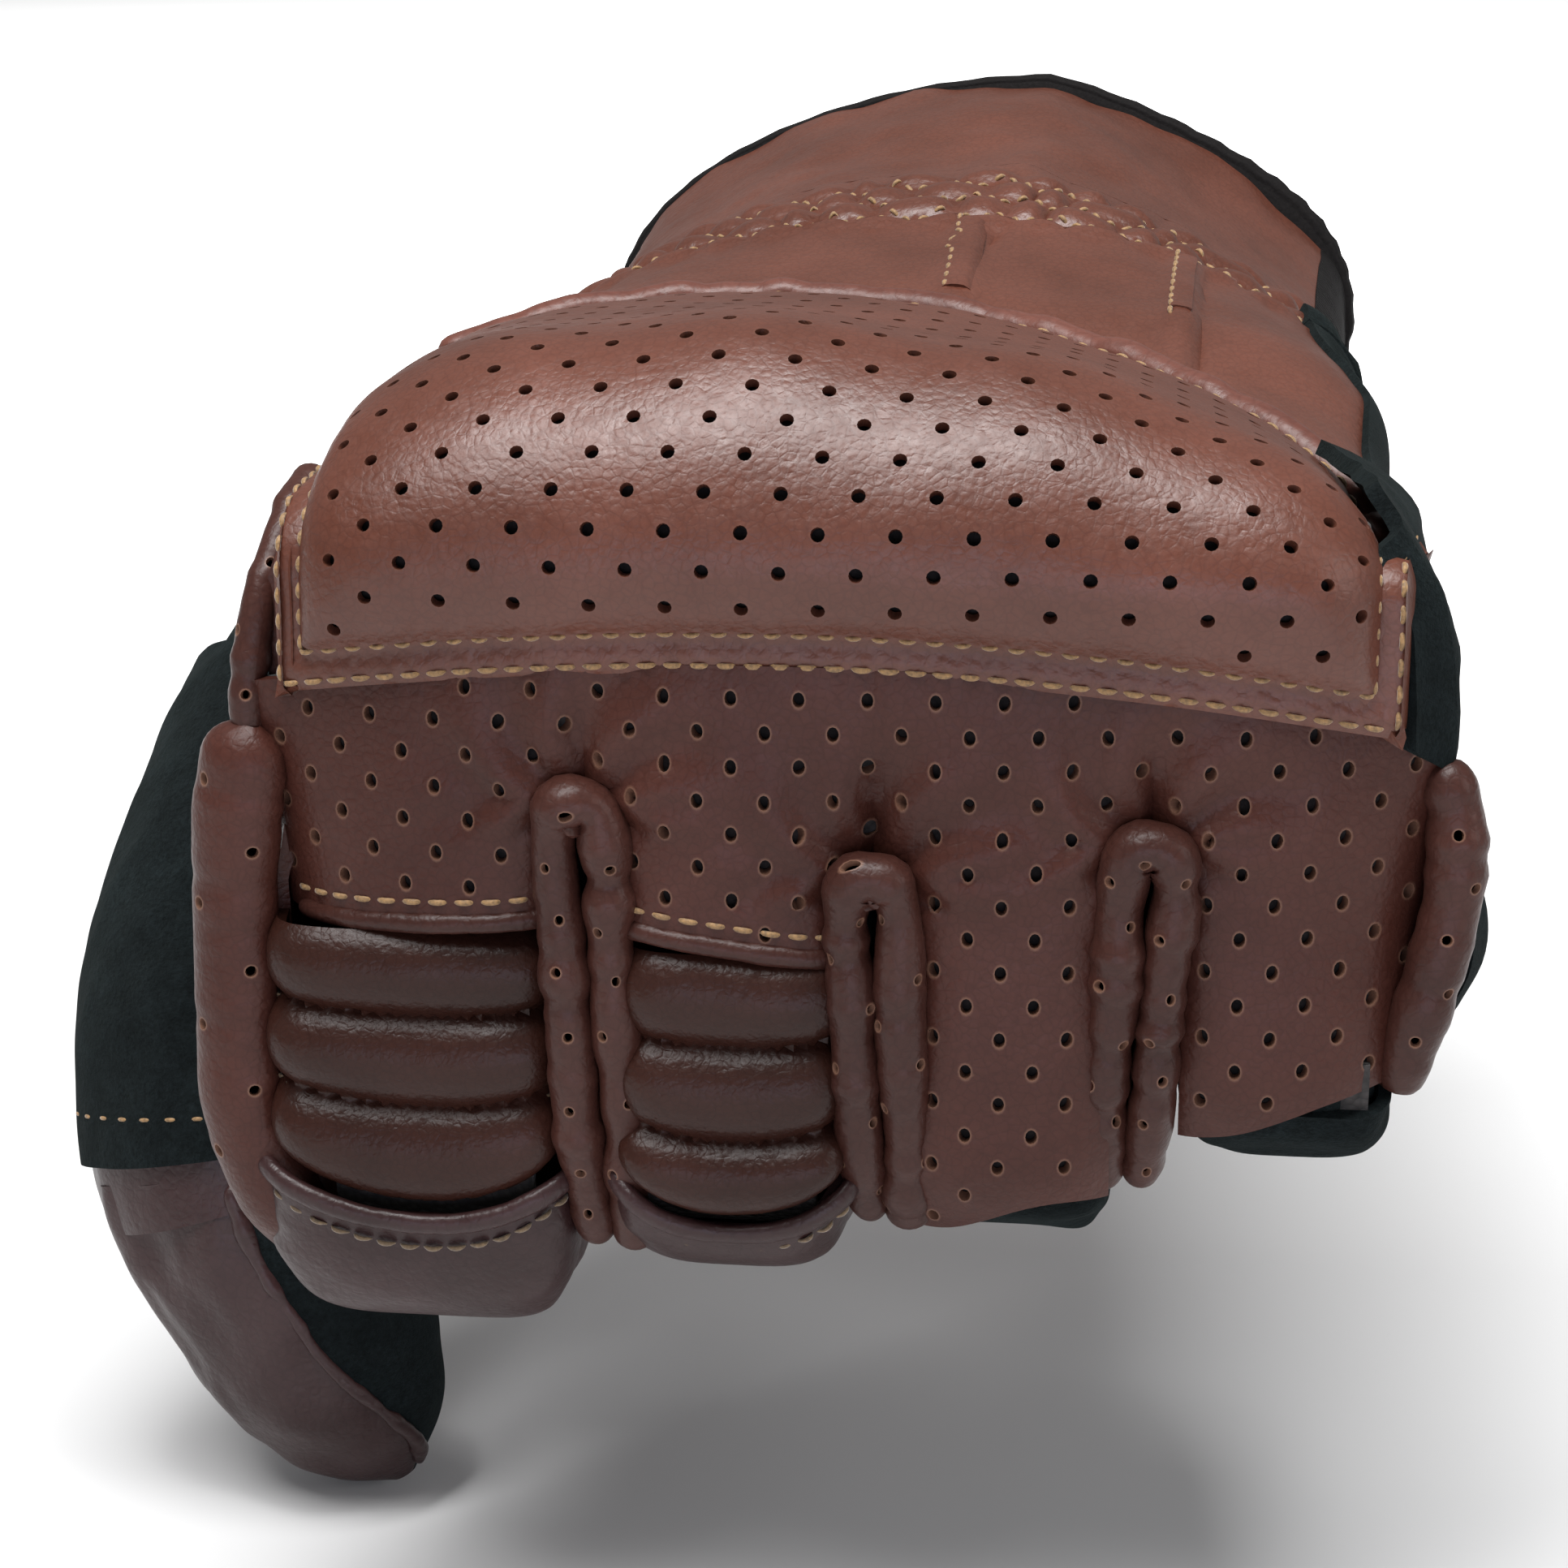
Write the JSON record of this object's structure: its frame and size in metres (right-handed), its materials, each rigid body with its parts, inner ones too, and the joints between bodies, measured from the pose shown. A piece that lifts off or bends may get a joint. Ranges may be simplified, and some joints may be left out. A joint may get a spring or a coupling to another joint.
{
  "type": "leather driving glove",
  "caption": "Left-hand driving glove in brown leather and dark suede, with a padded perforated knuckle guard, ribbed finger joints and a shirred wrist.",
  "frame": {"origin": "centre of the wrist opening, in the plane of its edge", "axes": "-Y from the wrist opening to the knuckles, +X towards the little finger, +Z out of the back of the hand"},
  "size_m": [0.1237, 0.1447, 0.1193],
  "materials": {
    "leather": "semi-matt pebbled hide, perforated over the knuckles",
    "dark_leather": "soft semi-matt hide",
    "rolled_leather": "rolled edges, smooth, slightly glossy",
    "suede": "napped suede",
    "elastic": "ribbed woven elastic",
    "lining": "matt knitted lining",
    "foam": "open foam",
    "thread": "twisted sewing thread"
  },
  "bodies": {
    "cuff": {"cuff_back": "leather", "cuff_palm_side": "leather", "cuff_side_elastic": "elastic", "cuff_binding": "elastic", "wrist_shirred_back": "leather", "wrist_palm_gather": "leather", "wrist_elastic_rows": "elastic"},
    "hand": {"hand_back": "leather", "hand_back_tucks": "leather", "index_side_panel": "leather", "pinky_side_panel": "suede", "palm_panel": "suede", "palm_thumb_edge": "suede", "guard_piping": "rolled_leather", "knuckle_guard": "leather", "guard_foam": "foam", "palm_crease": "suede", "index_knuckle_side": "leather", "pinky_knuckle_side": "suede", "thumb_gusset": "leather"},
    "fingers": {"knuckle_lining": "lining", "index_front": "leather", "middle_front": "leather", "ring_front": "leather", "pinky_front": "leather", "index_underside": "suede", "middle_underside": "suede", "ring_underside": "suede", "pinky_underside": "suede", "index_middle_fourchette": "suede", "middle_ring_fourchette": "suede", "ring_pinky_fourchette": "suede", "index_middle_welt": "rolled_leather", "middle_ring_welt": "rolled_leather", "ring_pinky_welt": "rolled_leather", "index_outer_wall": "leather", "pinky_outer_wall": "leather", "index_side_welt": "rolled_leather", "pinky_side_welt": "rolled_leather", "index_rib_pad": "dark_leather", "middle_rib_pad": "dark_leather", "ring_joint_panel": "dark_leather", "pinky_joint_panel": "dark_leather"},
    "index_tip": {"index_joint_lining": "lining", "index_tip_back": "dark_leather", "index_tip_underside": "suede"},
    "middle_tip": {"middle_joint_lining": "lining", "middle_tip_back": "dark_leather", "middle_tip_underside": "suede"},
    "ring_tip": {"ring_joint_lining": "lining", "ring_tip_back": "suede", "ring_tip_underside": "suede"},
    "pinky_tip": {"pinky_joint_lining": "lining", "pinky_tip_back": "suede", "pinky_tip_underside": "suede"},
    "thumb_base": {"thumb_outer_patch": "suede", "thumb_inner_panel": "leather", "thumb_joint_panel": "leather"},
    "thumb_tip": {"thumb_tip_back": "leather", "thumb_tip_underside": "suede"}
  },
  "joints": [
    {"name": "wrist_flex", "type": "hinge", "parent": "cuff", "child": "hand", "pos_m": [0, -0.047, 0], "axis": [1, 0, 0], "range_deg": [-18, 18], "deforming": ["wrist_shirred_back", "wrist_palm_gather", "wrist_elastic_rows"]},
    {"name": "knuckle_flex", "type": "hinge", "parent": "hand", "child": "fingers", "pos_m": [0, -0.124, 0], "axis": [-1, 0, 0], "range_deg": [0, 70], "deforming": ["knuckle_guard", "guard_foam", "palm_crease", "index_knuckle_side", "pinky_knuckle_side"]},
    {"name": "index_flex", "type": "hinge", "parent": "fingers", "child": "index_tip", "pos_m": [-0.0348, -0.1259, -0.05], "axis": [-1, 0, 0], "range_deg": [-5, 35], "deforming": ["index_rib_pad"]},
    {"name": "middle_flex", "type": "hinge", "parent": "fingers", "child": "middle_tip", "pos_m": [-0.01, -0.1274, -0.0465], "axis": [-1, 0, 0], "range_deg": [-5, 60], "deforming": ["middle_rib_pad"]},
    {"name": "ring_flex", "type": "hinge", "parent": "fingers", "child": "ring_tip", "pos_m": [0.0125, -0.1264, -0.045], "axis": [-1, 0, 0], "range_deg": [-5, 60], "deforming": ["ring_joint_panel"]},
    {"name": "pinky_flex", "type": "hinge", "parent": "fingers", "child": "pinky_tip", "pos_m": [0.0345, -0.1234, -0.0386], "axis": [-1, 0, 0], "range_deg": [-5, 60], "deforming": ["pinky_joint_panel"]},
    {"name": "thumb_swing", "type": "hinge", "parent": "hand", "child": "thumb_base", "pos_m": [-0.044, -0.064, -0.012], "axis": [0, 1, 0], "range_deg": [0, 25], "deforming": ["thumb_gusset"]},
    {"name": "thumb_flex", "type": "hinge", "parent": "thumb_base", "child": "thumb_tip", "pos_m": [-0.0625, -0.101, -0.064], "axis": [0, 1, 0], "range_deg": [-8, 28], "deforming": ["thumb_joint_panel"]}
  ]
}
